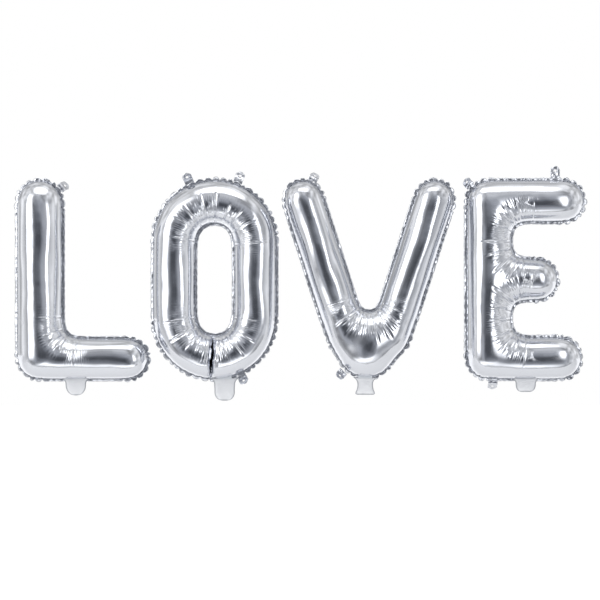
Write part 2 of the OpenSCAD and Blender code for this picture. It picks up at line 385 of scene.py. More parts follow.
class Fan(Line):
    """The stretch of a seam round one inner bend, with the creases that run out from it."""

    MARGIN = 34 * MM
    MID_GAP = 40 * MM
    END_FADE = 14 * MM
    EVENING = 10 * MM
    # Least closeness of the seam at which creases run out from it
    CLOSE = 0.35
    # Number of points that a search along the bend may pass
    SEARCH = 14

    def __init__(self, edge, first, run, sizes, draw):
        count = len(edge.points)
        index = [(first + k) % count for k in range(run)]
        evenly = [evened([p[axis] for p in edge.points], 4) for axis in range(3)]
        super().__init__([Vector([row[i] for row in evenly]) for i in index], False)
        last = run - 1
        self.ways = [
            (self.points[min(i + 3, last)] - self.points[max(i - 3, 0)]).normalized()
            for i in range(run)]
        bends = [max(0.0, -edge.turns[i]) for i in index]
        share = self.length / run / edge.SPAN
        self.radius = sum(b > edge.INNER for b in bends) * share * edge.SPAN / (sum(bends) * share)
        half = round(self.EVENING / (share * edge.SPAN))
        self.closeness = [
            min(1.0, bend / (2 * edge.INNER))
            * ramp(min(place, self.length - place), 0, self.END_FADE)
            for bend, place in zip(evened(bends, half), self.places)]
        self.middle = self.points[run // 2]
        self.creases = []
        turned, goal = 0.0, sizes.crease_turn / 2
        for place, bend in zip(self.places, bends):
            turned += bend * share
            if turned > goal:
                self.creases.append((place, draw.uniform(0.7, 1.0), draw.uniform(0.45, 1.0)))
                goal += sizes.crease_turn * draw.uniform(0.75, 1.3)

    def near(self, co):
        """Gap to the bend, place along it, number of a point beside it, share to the next point.

        It is measured square to the bend's smoothed direction, so that creases run straight.
        """
        _, i, _ = self.tree.find(co)
        last = len(self.points) - 1
        ahead = (co - self.points[i]).dot(self.ways[i])
        step = 1 if ahead > 0 else -1
        for _ in range(self.SEARCH):
            if not 0 <= i + step <= last:
                break
            beyond = (co - self.points[i + step]).dot(self.ways[i + step])
            if beyond * ahead <= 0:
                break
            i, ahead = i + step, beyond
        else:
            beyond = ahead
        k = min(max(i + step, 0), last)
        share = ahead / (ahead - beyond) if k != i and ahead != beyond else 0.0
        spot = self.points[i].lerp(self.points[k], share)
        place = self.places[i] + (self.places[k] - self.places[i]) * share
        return (co - spot).length, place, i, share

    def bends_by(self, co, reach):
        """Whether a place is near enough to the bend for its creases."""
        _, i, gap = self.tree.find(co)
        return gap < reach and self.closeness[i] > self.CLOSE

    def height(self, place, gap, sizes):
        """How far the film stands in or out at a place by the bend, in metres."""
        spread = 1 + gap / self.radius
        starts, full, ends = 5 * MM, 14 * MM, 12 * MM
        # Beside each fold, centred 1.6 half widths from it, the film swells a little
        swell_off, swell_w, swell_share = 1.6, 1.2, 0.3
        height = 0.0
        for at, reach, depth in self.creases:
            fade = ramp(gap, starts, full) * ramp(sizes.crease_reach * reach - gap, 0, ends)
            off = abs(place - at) * spread
            fold = max(0.0, 1 - off / sizes.crease_w)
            swell = max(0.0, 1 - abs(off / sizes.crease_w - swell_off) / swell_w)
            height += sizes.crease_depth * depth * fade * (swell_share * swell - fold)
        return height


class Edge(Line):
    """One closed loop of a seam, with its bends, its notches and its fans."""

    # Length on each side over which a bend is measured, and the turn there, in radians, that makes
    # an inner bend
    SPAN = 16 * MM
    INNER = 0.15
    # Shortest inner bend that gets a fan of creases
    SHORTEST = 12 * MM

    def __init__(self, points, sizes, draw):
        super().__init__(points, True)
        count = len(points)
        span = max(2, round(self.SPAN * count / self.length))
        turns, self.outs = [], []
        for i, co in enumerate(points):
            back = (co - points[i - span]).normalized()
            ahead = (points[(i + span) % count] - co).normalized()
            turns.append(math.atan2(back.x * ahead.z - back.z * ahead.x, back.dot(ahead)))
            side = (points[(i + 2) % count] - points[i - 2]).normalized()
            self.outs.append(Vector((side.z, 0, -side.x)))
        self.turns = evened(turns, max(1, span // 2))
        number = max(6, round(self.length / sizes.scallop))
        # Each notch's shift along the seam, and its lobe's height and curl
        self.lobes = [
            (draw.uniform(-0.26, 0.26), draw.uniform(0.55, 1.0), draw.uniform(-1, 1))
            for _ in range(number)]
        self.phase = draw.uniform(0, 6)
        self.fans = []
        inner = [turn < -self.INNER for turn in self.turns]
        extra = round(Fan.MARGIN * count / self.length)
        for start in range(count):
            if inner[start] and not inner[start - 1]:
                run = next(k for k in range(1, count) if not inner[(start + k) % count])
                if run * self.length / count > self.SHORTEST:
                    self.fans.append(Fan(self, start - extra, run + 2 * extra, sizes, draw))

    def near(self, co):
        """Gap to the seam, place along it, number of the point before it, share to the next."""
        _, i, _ = self.tree.find(co)
        count = len(self.points)
        best = None
        for k in (i - 1, i):
            start = self.points[k % count]
            edge = self.points[(k + 1) % count] - start
            share = max(0.0, min(1.0, (co - start).dot(edge) / edge.length_squared))
            gap = (co - start - edge * share).length
            if best is None or gap < best[0]:
                best = gap, self.places[k % count] + share * edge.length, k % count, share
        return best

    def lobe(self, place):
        """Scallop at a place: 0 in its notches and 1 midway, its height, and the way it curls."""
        count = len(self.lobes)
        x = place / self.length * count
        k = int(x)
        if x < k + self.lobes[k % count][0]:
            k -= 1
        elif x >= k + 1 + self.lobes[(k + 1) % count][0]:
            k += 1
        start = k + self.lobes[k % count][0]
        end = k + 1 + self.lobes[(k + 1) % count][0]
        _, height, curl = self.lobes[k % count]
        return math.sin(math.pi * (x - start) / (end - start)), height, curl


class Seam:
    """The welded seam of one letter: its outer edge and, in the O, the edge of its hole."""

    def __init__(self, loops, sizes, seed):
        draw = random.Random(seed)
        areas = [sum(a.x * b.z - b.x * a.z for a, b in zip(p, p[1:] + p[:1])) for p in loops]
        largest = max(range(len(loops)), key=lambda i: abs(areas[i]))
        self.edges = []
        for i, points in enumerate(loops):
            points = [p.copy() for p in points]
            if (areas[i] > 0) != (i == largest):
                points.reverse()
            self.edges.append(Edge(points, sizes, draw))

    def nearest(self, co):
        """What Edge.near finds on the nearest edge, and that edge."""
        return min(((edge.near(co), edge) for edge in self.edges), key=lambda found: found[0][0])

    def at(self, co):
        """Gap to the nearest edge, that edge, place along it, its bend there and its way out."""
        (gap, place, k, share), edge = self.nearest(co)
        after = (k + 1) % len(edge.points)
        turn = edge.turns[k] + (edge.turns[after] - edge.turns[k]) * share
        return gap, edge, place, turn, edge.outs[k].lerp(edge.outs[after], share)


# ---------------------------------------------------------------- film


# Times the body is smoothed: everywhere, round the foot of the V, and along the E's inner bends
SMOOTH_ALL, SMOOTH_V, SMOOTH_E = 20, 30, 20
V_FOOT = 100 * MM
E_BENDS = 30 * MM, 120 * MM


def tube_body(letter, sizes):
    """The letter's inflated body as one even, closed mesh, front and back joined at y = 0."""
    bm = bmesh.new()
    if letter == "o":
        add_ring(bm, sizes)
    else:
        for stroke in STROKES[letter](sizes):
            add_stroke(bm, *stroke)
    body = new_object(letter + "_body", bm)
    remesh = body.modifiers.new("even", "REMESH")
    remesh.mode = "VOXEL"
    remesh.voxel_size = sizes.cell
    apply_modifiers(body)
    bm = bmesh.new()
    bm.from_mesh(body.data)
    smooth(bm, bm.verts, SMOOTH_ALL)
    left, _, bottom, _ = rim_box(letter, sizes)
    if letter == "v":
        smooth(bm, [v for v in bm.verts if v.co.z < bottom + V_FOOT], SMOOTH_V)
    if letter == "e":
        smooth(bm, [v for v in bm.verts if E_BENDS[0] < v.co.x - left < E_BENDS[1]], SMOOTH_E)
    everything = bm.verts[:] + bm.edges[:] + bm.faces[:]
    bmesh.ops.bisect_plane(
        bm, geom=everything, plane_co=(0, 0, 0), plane_no=(0, 1, 0), clear_outer=True)
    bmesh.ops.remove_doubles(bm, verts=bm.verts, dist=sizes.cell * 0.3)
    loose = [v for v in bm.verts if not v.link_faces]
    bmesh.ops.delete(bm, geom=loose, context="VERTS")
    for vert in bm.verts:
        if vert.is_boundary:
            vert.co.y = 0
    for face in bm.faces:
        face.material_index = FRONT
    front = set(bm.faces)
    bmesh.ops.mirror(
        bm, geom=bm.verts[:] + bm.edges[:] + bm.faces[:], axis="Y", merge_dist=1e-6)
    for face in bm.faces:
        if face not in front:
            face.material_index = BACK
    bmesh.ops.recalc_face_normals(bm, faces=bm.faces)
    bm.to_mesh(body.data)
    bm.free()
    return body


def seam_edges(bm):
    """Edges between a front and a back face."""
    return [
        e for e in bm.edges
        if len(e.link_faces) == 2
        and e.link_faces[0].material_index != e.link_faces[1].material_index
    ]


def read_seam(body, sizes, seed):
    """The seam of a body's mesh as it now lies."""
    bm = bmesh.new()
    bm.from_mesh(body.data)
    loops = [[v.co for v in loop] for loop in seam_loops(bm, seam_edges(bm))]
    seam = Seam(loops, sizes, seed)
    bm.free()
    return seam


def round_notches(body, seam):
    """Rounds off the inner bends, as taut film does."""
    reach, fade, full_turn = 15 * MM, 30 * MM, 0.25
    for edge in seam.edges:
        half = round(reach * len(edge.points) / edge.length)
        rows = [evened([p[axis] for p in edge.points], half) for axis in range(3)]
        edge.eases = [
            (Vector(even) - point) * ramp(-turn, 0, full_turn)
            for even, point, turn in zip(zip(*rows), edge.points, edge.turns)]
    for vert in body.data.vertices:
        (gap, _, k, share), edge = seam.nearest(vert.co)
        ease = edge.eases[k].lerp(edge.eases[(k + 1) % len(edge.eases)], share)
        vert.co += ease * math.exp(-((gap / fade) ** 2))


def inflate(body, seam, settings, seed):
    """Blows the film up between its welded seams with a cloth simulation."""
    pinned, slack = body.vertex_groups.new(name="weld"), body.vertex_groups.new(name="slack")
    jitter, slack_turn, slack_gap, evening = 0.2 * MM, 0.4, 50 * MM, 6
    draw = random.Random(seed)
    bm = bmesh.new()
    bm.from_mesh(body.data)
    welded = {v.index for e in seam_edges(bm) for v in e.verts}
    bm.free()
    for vert in body.data.vertices:
        if vert.index in welded:
            pinned.add([vert.index], 1.0, "REPLACE")
        else:
            vert.co.y += draw.uniform(-jitter, jitter)
        gap, _, _, turn, _ = seam.at(vert.co)
        share = ramp(abs(turn), 0, slack_turn) * ramp(gap, slack_gap, 0)
        slack.add([vert.index], share, "REPLACE")
    cloth = body.modifiers.new("film", "CLOTH")
    film = cloth.settings
    film.quality = 6
    film.mass = 0.1
    film.tension_stiffness = settings.stiffness
    film.compression_stiffness = settings.stiffness
    film.shear_stiffness = settings.stiffness
    film.bending_stiffness = settings.bending
    film.air_damping = 1
    film.use_pressure = True
    film.uniform_pressure_force = settings.pressure
    film.vertex_group_mass = "weld"
    film.shrink_min = 0
    film.shrink_max = -settings.slack
    film.vertex_group_shrink = "slack"
    film.effector_weights.gravity = 0
    cloth.collision_settings.use_collision = False
    cloth.point_cache.frame_start = 1
    cloth.point_cache.frame_end = settings.frames
    scene = bpy.context.scene
    for step in range(1, settings.frames + 1):
        scene.frame_set(step)
    apply_modifiers(body)
    scene.frame_set(1)
    body.vertex_groups.clear()
    bm = bmesh.new()
    bm.from_mesh(body.data)
    held = {v for e in seam_edges(bm) for v in e.verts}
    smooth(bm, [v for v in bm.verts if v not in held], evening)
    bm.to_mesh(body.data)
    bm.free()


def seam_shift(edge, place, turn, out):
    """How a notch of the rim pulls the seam in, as a vector."""
    rise, _, curl = edge.lobe(place)
    notch = (1 - rise) ** 2
    pull = (0.15 + 1.1 * outward(turn)) * MM
    return Vector((0, curl * rise * 0.35 * MM, 0)) - out * notch * pull


def pleat_depth(edge, place, turn, gap):
    """Depth of the short pleats that run in from the notches, in metres."""
    rise, height, _ = edge.lobe(place)
    reach = 10 * MM
    depth = (0.2 + 1.3 * outward(turn)) * MM
    return (1 - rise) ** 1.5 * height * math.exp(-((gap / reach) ** 1.5)) * depth


def fan_at(seam, co, sizes):
    """The fan that most affects a place: how much it does, its pattern's place, gap and height."""
    fade = 15 * MM
    best = 0.0, 0.0, 0.0, 0.0
    for edge in seam.edges:
        for fan in edge.fans:
            if (co - fan.middle).length > fan.length / 2 + sizes.crease_reach:
                continue
            gap, place, k, _ = fan.near(co)
            amount = fan.closeness[k] * ramp(gap, sizes.crease_reach, sizes.crease_reach - fade)
            if amount > best[0]:
                spread = 1 + fan.MID_GAP / fan.radius
                best = amount, place * spread, gap, fan.height(place, gap, sizes)
    return best


def refine(bm, wanted):
    """Halves the edges whose two ends are wanted."""
    chosen = {v for v in bm.verts if wanted(v.co)}
    edges = [e for e in bm.edges if chosen.issuperset(e.verts)]
    bmesh.ops.subdivide_edges(bm, edges=edges, cuts=1, use_grid_fill=True)


def pucker(bm, sizes):
    """Draws the O together along the weld that runs from its hole down to its outer edge."""
    low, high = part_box("o_inner_rim")
    weld_shift, fine_w, fine_rise, fade, widest = -4 * MM, 20 * MM, 12 * MM, 14 * MM, 50 * MM
    line_x = (low.x + high.x) / 2 + weld_shift
    top = low.z + sizes.rim_w
    refine(bm, lambda co: abs(co.x - line_x) < fine_w and co.z < top + fine_rise)
    for vert in bm.verts:
        # The weld wanders from side to side on its way down, in millimetres
        drop = (top - vert.co.z) / MM
        sway = 1.5 * math.sin(drop / 13) + 0.6 * math.sin(drop / 4.1) + 0.35 * math.sin(drop / 1.9)
        off = vert.co.x - line_x - sway * MM
        reach = ramp(vert.co.z, top + fade, top)
        if reach == 0 or abs(off) > widest:
            continue
        wide = abs(off) / MM
        # A deep, narrow fold in a shallow, wide one, with ridges beside it and across it
        fold = 0.72 * math.exp(-((wide / 3.1) ** 1.2)) + 0.16 * math.exp(-((wide / 14) ** 2))
        ridge = 0.7 * MM * math.cos(math.tau * wide / 5.2) * math.exp(-wide / 8)
        ridge += 0.25 * MM * math.sin(drop / 1.6) * math.exp(-((wide / 6) ** 2))
        depth = abs(vert.co.y)
        ridge *= min(1.0, depth / (8 * MM))
        vert.co.y -= math.copysign(reach * (fold * depth + ridge), vert.co.y)
        vert.co.x -= reach * off * 0.3 * math.exp(-((wide / 9) ** 2))


def pleat(body, letter, seam, sizes):
    """Adds the fans of creases at the inner bends and the pleats of the round ends."""
    pull_reach, sway_size, sway_starts, sway_full = 7 * MM, 66 * MM, 8 * MM, 34 * MM
    bm = bmesh.new()
    bm.from_mesh(body.data)
    pattern = bm.loops.layers.uv.new("creases")
    strength = bm.verts.layers.float.new("fan")
    if letter == "o":
        pucker(bm, sizes)
    fans = [fan for edge in seam.edges for fan in edge.fans]
    refine(bm, lambda co: any(fan.bends_by(co, sizes.crease_reach) for fan in fans))
    bm.normal_update()
    welded = {v for e in seam_edges(bm) for v in e.verts}
    moves = []
    for vert in bm.verts:
        gap, edge, place, turn, out = seam.at(vert.co)
        move = seam_shift(edge, place, turn, out) * math.exp(-((gap / pull_reach) ** 1.5))
        amount, at, fan_gap, height = fan_at(seam, vert.co, sizes)
        if vert not in welded:
            sway = noise.noise((vert.co + Vector((0, seam.edges[0].phase, 0))) / sway_size)
            sway *= sizes.sway * ramp(gap, sway_starts, sway_full)
            move += vert.normal * (amount * height - pleat_depth(edge, place, turn, gap) + sway)
        vert[strength] = amount
        for loop in vert.link_loops:
            loop[pattern].uv = (at, fan_gap)
        moves.append(move)
    for vert, move in zip(bm.verts, moves):
        vert.co += move
    bm.to_mesh(body.data)
    bm.free()


def film_panel(body, name, side, sizes):
    """Cuts one film panel from the inflated body and gives it its wall."""
    bm = bmesh.new()
    bm.from_mesh(body.data)
    other = [f for f in bm.faces if f.material_index != side]
    bmesh.ops.delete(bm, geom=other, context="FACES")
    for face in bm.faces:
        face.material_index = 0
    panel = new_object(name, bm)
    wall = panel.modifiers.new("wall", "SOLIDIFY")
    wall.thickness = sizes.film_t
    wall.offset = -1
    return panel


def rim_reach(edge, place, turn, out, sizes, share):
    """From the seam to a share of the rim's width: scalloped round the ends, curled and leaning."""
    rise, height, curl = edge.lobe(place)
    bent = outward(turn)
    lobe = sizes.lobe * (rise ** 0.55 * height - 0.6) * bent
    nick = 0.5 * MM * (rise - 1) * (1 - bent)
    # The rim leans back on the left and below, where it catches more light, and sways as it goes
    lean = math.radians(20) * max(0.0, -out.x * 0.8 - out.z * 0.5)
    lean += math.radians(6) * math.sin(math.tau * place / (95 * MM) + edge.phase)
    width = (sizes.rim_w + lobe + nick) * share
    curl *= rise * (0.3 + 0.8 * bent) * MM * share * share
    return out * width * math.cos(lean) + Vector((0, width * math.sin(lean) + curl, 0))


def weld_band(body, seam, which, name, sizes):
    """Extrudes a seam outwards into its flat, scalloped rim."""
    bm = bmesh.new()
    bm.from_mesh(body.data)
    loops = seam_loops(bm, seam_edges(bm))
    loops.sort(key=lambda loop: -max(v.co.x for v in loop))
    line = [v.co.copy() for v in loops[which]]
    bm.free()
    bm = bmesh.new()
    row = [bm.verts.new(co) for co in line]
    edges = [bm.edges.new((a, b)) for a, b in zip(row, row[1:] + row[:1])]
    marks = [seam.at(flat(co.x, co.z)) for co in line]
    steps = 3
    for step in range(1, steps + 1):
        row, edges = extruded(bm, row, edges)
        for vert, co, (_, edge, place, turn, out) in zip(row, line, marks):
            vert.co = co + rim_reach(edge, place, turn, out, sizes, step / steps)
    bmesh.ops.recalc_face_normals(bm, faces=bm.faces)
    band = new_object(name, bm)
    wall = band.modifiers.new("wall", "SOLIDIFY")
    wall.thickness = sizes.rim_t
    wall.offset = 0
    return band


# ---------------------------------------------------------------- materials


def linear(text):
    """A colour from its sRGB hex value, with alpha."""
    parts = [int(text[i:i + 2], 16) / 255 for i in (1, 3, 5)]
    return [c / 12.92 if c <= 0.04045 else ((c + 0.055) / 1.055) ** 2.4 for c in parts] + [1.0]


def add_node(tree, kind, settings=None, inputs=None):
    """Adds a node, sets its properties, and sets or links its inputs."""
    node = tree.nodes.new(kind)
    for key, value in (settings or {}).items():
        setattr(node, key, value)
    for key, value in (inputs or {}).items():
        if isinstance(value, bpy.types.NodeSocket):
            tree.links.new(value, node.inputs[key])
        else:
            node.inputs[key].default_value = value
    return node


def empty_material(name):
    material = bpy.data.materials.new(name)
    material.use_nodes = True
    material.node_tree.nodes.clear()
    return material, material.node_tree


def finish_material(tree, shader):
    output = add_node(tree, "ShaderNodeOutputMaterial")
    tree.links.new(shader.outputs[0], output.inputs["Surface"])


def metallised_film(colours):
    """Nylon film with a vapour-deposited aluminium coat: a near mirror, with hair-fine pleats."""
    material, tree = empty_material("metallised_film")
    place = add_node(tree, "ShaderNodeUVMap", {"uv_map": "creases"})
    split = add_node(tree, "ShaderNodeSeparateXYZ", {}, {"Vector": place.outputs[0]})
    # Real pleats lie about 2 mm apart; they are drawn 3.6 mm apart, the least that shows
    across = add_node(
        tree, "ShaderNodeMath", {"operation": "MULTIPLY"},
        {0: split.outputs["X"], 1: 1 / (3.6 * MM)})
    folds = add_node(
        tree, "ShaderNodeTexVoronoi", {"voronoi_dimensions": "1D", "feature": "F1"},
        {"W": across.outputs[0], "Scale": 1.0, "Randomness": 0.7})
    # They start about 25 mm from the seam and end about 53 mm from it
    near = add_node(
        tree, "ShaderNodeMapRange", {"interpolation_type": "SMOOTHSTEP"},
        {"Value": split.outputs["Y"], "From Min": 18 * MM, "From Max": 32 * MM})
    far = add_node(
        tree, "ShaderNodeMapRange", {"interpolation_type": "SMOOTHSTEP"},
        {"Value": split.outputs["Y"], "From Min": 60 * MM, "From Max": 46 * MM})
    fan = add_node(tree, "ShaderNodeAttribute", {"attribute_name": "fan"})
    body = add_node(tree, "ShaderNodeTexCoord")
    # Pleats come and go over patches about 18 mm wide
    patch = add_node(
        tree, "ShaderNodeTexNoise", {},
        {"Vector": body.outputs["Object"], "Scale": 1 / (18 * MM), "Detail": 1.0})
    patchy = add_node(
        tree, "ShaderNodeMapRange", {"interpolation_type": "SMOOTHSTEP"},
        {"Value": patch.outputs["Fac"], "From Min": 0.38, "From Max": 0.58, "To Min": 0.12})
    amount = fan.outputs["Fac"]
    for mask in (near, far, patchy):
        masked = add_node(
            tree, "ShaderNodeMath", {"operation": "MULTIPLY"}, {0: amount, 1: mask.outputs[0]})
        amount = masked.outputs[0]
    relief = add_node(
        tree, "ShaderNodeMath", {"operation": "MULTIPLY"},
        {0: folds.outputs["Distance"], 1: amount})
    # Each pleat stands 0.9 mm high
    pleats = add_node(
        tree, "ShaderNodeBump", {},
        {"Height": relief.outputs[0], "Strength": 1.0, "Distance": 0.9 * MM})
    # The film's own slight unevenness, 26 mm across, keeps long highlights from running straight
    sway = add_node(
        tree, "ShaderNodeTexNoise", {},
        {"Vector": body.outputs["Object"], "Scale": 1 / (26 * MM), "Detail": 1.0})
    uneven = add_node(
        tree, "ShaderNodeBump", {},
        {"Height": sway.outputs["Fac"], "Strength": 1.0, "Distance": 0.5 * MM,
         "Normal": pleats.outputs[0]})
    rough = add_node(
        tree, "ShaderNodeMapRange", {},
        {"Value": patch.outputs["Fac"], "To Min": 0.1, "To Max": 0.17})
    shader = add_node(
        tree, "ShaderNodeBsdfPrincipled", {},
        {"Base Color": linear(colours.film), "Metallic": 1.0, "Roughness": rough.outputs[0],
         "Normal": uneven.outputs[0]})
    finish_material(tree, shader)
    return material


def crumpled(tree, size, slope):
    """Bump of crumpled film: flat facets of a given size that meet in sharp folds."""
    place = add_node(tree, "ShaderNodeTexCoord")
    facets = add_node(
        tree, "ShaderNodeTexVoronoi", {"feature": "F1"},
        {"Vector": place.outputs["Object"], "Scale": 1 / size})
    return add_node(
        tree, "ShaderNodeBump", {},
        {"Height": facets.outputs["Distance"], "Strength": 1.0, "Distance": size * slope})


def welded_film(colours):
    """Two films pressed together by a hot bar: duller than the panels, with set-in crumples."""
    material, tree = empty_material("welded_film")
    crumples = crumpled(tree, 7 * MM, 0.13)
    place = add_node(tree, "ShaderNodeTexCoord")
    # The bar leaves the film dull and bright by turns, in patches about 14 mm wide
    worn = add_node(
        tree, "ShaderNodeTexNoise", {},
        {"Vector": place.outputs["Object"], "Scale": 1 / (14 * MM), "Detail": 2.0})
    rough = add_node(
        tree, "ShaderNodeMapRange", {},
        {"Value": worn.outputs["Fac"], "To Min": 0.12, "To Max": 0.34})
    shader = add_node(
        tree, "ShaderNodeBsdfPrincipled", {},
        {"Base Color": linear(colours.weld), "Metallic": 1.0, "Roughness": rough.outputs[0],
         "Normal": crumples.outputs[0]})
    finish_material(tree, shader)
    return material


def slack_film(colours):
    """The same film without tension: softly crumpled and satin, greyer along its welded edge."""
    material, tree = empty_material("slack_film")
    crumples = crumpled(tree, 12 * MM, 0.05)
    weld = add_node(tree, "ShaderNodeAttribute", {"attribute_name": "weld"})
    tone = add_node(
        tree, "ShaderNodeMix", {"data_type": "RGBA"},
        {0: weld.outputs["Fac"], 6: linear(colours.tail), 7: linear(colours.tail_weld)})
    place = add_node(tree, "ShaderNodeTexCoord")
    cloud = add_node(
        tree, "ShaderNodeTexNoise", {},
        {"Vector": place.outputs["Object"], "Scale": 1 / (9 * MM), "Detail": 2.0})
    rough = add_node(
        tree, "ShaderNodeMapRange", {},
        {"Value": cloud.outputs["Fac"], "To Min": 0.3, "To Max": 0.5})
    shader = add_node(
        tree, "ShaderNodeBsdfPrincipled", {},
        {"Base Color": tone.outputs[2], "Metallic": 0.15, "Roughness": rough.outputs[0],
         "Normal": crumples.outputs[0]})
    finish_material(tree, shader)
    return material


def valve_film(colours):
    """Clear polyethylene film, smooth and slightly milky."""
    material, tree = empty_material("clear_valve_film")
    place = add_node(tree, "ShaderNodeTexCoord")
    cloud = add_node(
        tree, "ShaderNodeTexNoise", {},
        {"Vector": place.outputs["Object"], "Scale": 1 / (8 * MM), "Detail": 2.0})
    rough = add_node(
        tree, "ShaderNodeMapRange", {},
        {"Value": cloud.outputs["Fac"], "To Min": 0.15, "To Max": 0.3})
    shader = add_node(
        tree, "ShaderNodeBsdfPrincipled", {},
        {"Base Color": linear(colours.valve), "Roughness": rough.outputs[0], "IOR": 1.51})
    finish_material(tree, shader)
    return material


def matte_floor(colours):
    """Matt painted studio floor that glows: a painted light, stronger well behind the letters."""
    material, tree = empty_material("matte_floor")
    place = add_node(tree, "ShaderNodeTexCoord")
    split = add_node(tree, "ShaderNodeSeparateXYZ", {}, {"Vector": place.outputs["Object"]})
    # Painted light: the floor glows weakly near the front and more strongly the further back it lies
    lit = add_node(
        tree, "ShaderNodeMapRange", {"interpolation_type": "SMOOTHSTEP"},
        {"Value": split.outputs["Y"], "From Min": 0.2, "From Max": 1.2,
         "To Min": 0.12, "To Max": 0.6})
    shader = add_node(
        tree, "ShaderNodeBsdfPrincipled", {},
        {"Base Color": linear(colours.floor), "Roughness": 0.9,
         "Emission Color": (1, 1, 1, 1), "Emission Strength": lit.outputs[0]})
    finish_material(tree, shader)
    return material


MATERIALS = {}


def material_for(kind):
    """The finish of that kind, made on first use."""
    makers = {
        "film": metallised_film, "weld": welded_film, "tail": slack_film, "valve": valve_film,
        "floor": matte_floor,
    }
    if kind not in MATERIALS:
        MATERIALS[kind] = makers[kind](bpy.context.scene.balloon_colours)
    return MATERIALS[kind]


def place_piece(piece, body, node, kind):
    """Gives a finished piece its material and its body, and hides the CAD node that it stands for."""
    piece.data.materials.clear()
    piece.data.materials.append(material_for(kind))
    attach(piece, body)
    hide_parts(node)


# ---------------------------------------------------------------- tails and tabs


# Half width at the root and at the foot, how much it draws in between, corner radius, and the curl
# of the foot, backwards above 0, in millimetres
TAIL_SHAPES = {
    "l": (17.5, 18.5, 0.5, 17, 3),
    "o": (18, 18.5, 1, 15, 3),
    "v": (13.5, 18.5, 1.5, 5, 4),
    "e": (17, 19, 0.5, 13, 3),
}
# How far a tail reaches up behind the rim, its thickness, and the half width of its open mouth
ROOT = 8 * MM
TAIL_T = 2.2 * MM
MOUTH = 8 * MM


def tail_piece(letter):
    """A filling tail: two slack plies welded along their sides, open at the foot."""
    low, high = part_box(letter + "_filling_tail")
    middle = (low.x + high.x) / 2
    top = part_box(RIM_NODE[letter])[0].z + ROOT
    shorter, flare, flare_h, gape = 3 * MM, 7 * MM, 2 * MM, 0.3 * MM
    length = top - low.z - shorter
    root, foot, waist, corner, curl = [value * MM for value in TAIL_SHAPES[letter]]
    bm = bmesh.new()
    bmesh.ops.create_grid(bm, x_segments=26, y_segments=34, size=1.0)
    weld = bm.verts.layers.float.new("weld")
    for vert in bm.verts:
        across, drop = vert.co.x, (1 - vert.co.y) / 2 * length
        share = ramp(drop, ROOT, length)
        half = root + (foot - root) * share ** 1.5 - waist * math.sin(math.pi * share)
        half += flare * ramp(drop, ROOT + flare_h, 0) ** 2
        rest = length - drop
        if rest < corner:
            half -= corner - math.sqrt(max(0.0, corner ** 2 - (corner - rest) ** 2))
        inset = min((1 - abs(across)) * half, drop)
        mouth = abs(across * half) < MOUTH
        if not mouth:
            inset = min(inset, rest)
        vert[weld] = ramp(min(inset, rest), 2.6 * MM, 0.4 * MM)
        puff = TAIL_T / 2 * ramp(inset, 0, 6 * MM) ** 0.7
        if mouth and rest < 1 * MM:
            puff = gape
        # A weld line crosses the tail 1.5 mm above its fold
        line = math.exp(-(((drop - ROOT + 1.5 * MM) / MM) ** 2))
        puff -= 0.25 * MM * line * ramp(inset, 0, 4 * MM)
        vert.co = Vector((middle + across * half, -max(0.0, puff), top - drop))
    bmesh.ops.mirror(bm, geom=bm.verts[:] + bm.edges[:] + bm.faces[:], axis="Y", merge_dist=1e-6)
    for vert in bm.verts:
        share = ramp(top - vert.co.z, ROOT, length)
        side = (vert.co.x - middle) / foot
        ripple = 0.7 * MM * math.sin(5 * side + LETTERS.index(letter)) * share
        vert.co.y += curl * share * share * (1 - 0.3 * side) + ripple
    bmesh.ops.recalc_face_normals(bm, faces=bm.faces)
    tail = new_object(letter + "_tail_pouch", bm)
    wall = tail.modifiers.new("wall", "SOLIDIFY")
    wall.thickness = 0.2 * MM
    wall.offset = -1
    apply_modifiers(tail)
    tail.data.materials.clear()
    tail.data.materials.append(material_for("tail"))
    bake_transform(tail)
    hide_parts(letter + "_filling_tail")


# How far each tab is folded back from the plane of its rim, in degrees; below 0 it comes forward
TAB_FOLDS = {
    "l_hanging_tab": 50,
    "o_hanging_tab_left": -36, "o_hanging_tab_right": 22, "o_lower_tab": -46,
    "v_hanging_tab": 50, "v_lower_tab": -52,
    "e_hanging_tab": 5, "e_corner_tab": -46, "e_lower_tab": 50,
}


def tab_node(hole):
    """The CAD tab that a punched hole is in."""
    for name in frame["nodes"]:
        if "_tab" in name:
            low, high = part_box(name)
            if low.x < hole.x < high.x and low.z < hole.z < high.z:
                return name
    raise RuntimeError("no tab holds the hole at " + str(tuple(hole)))


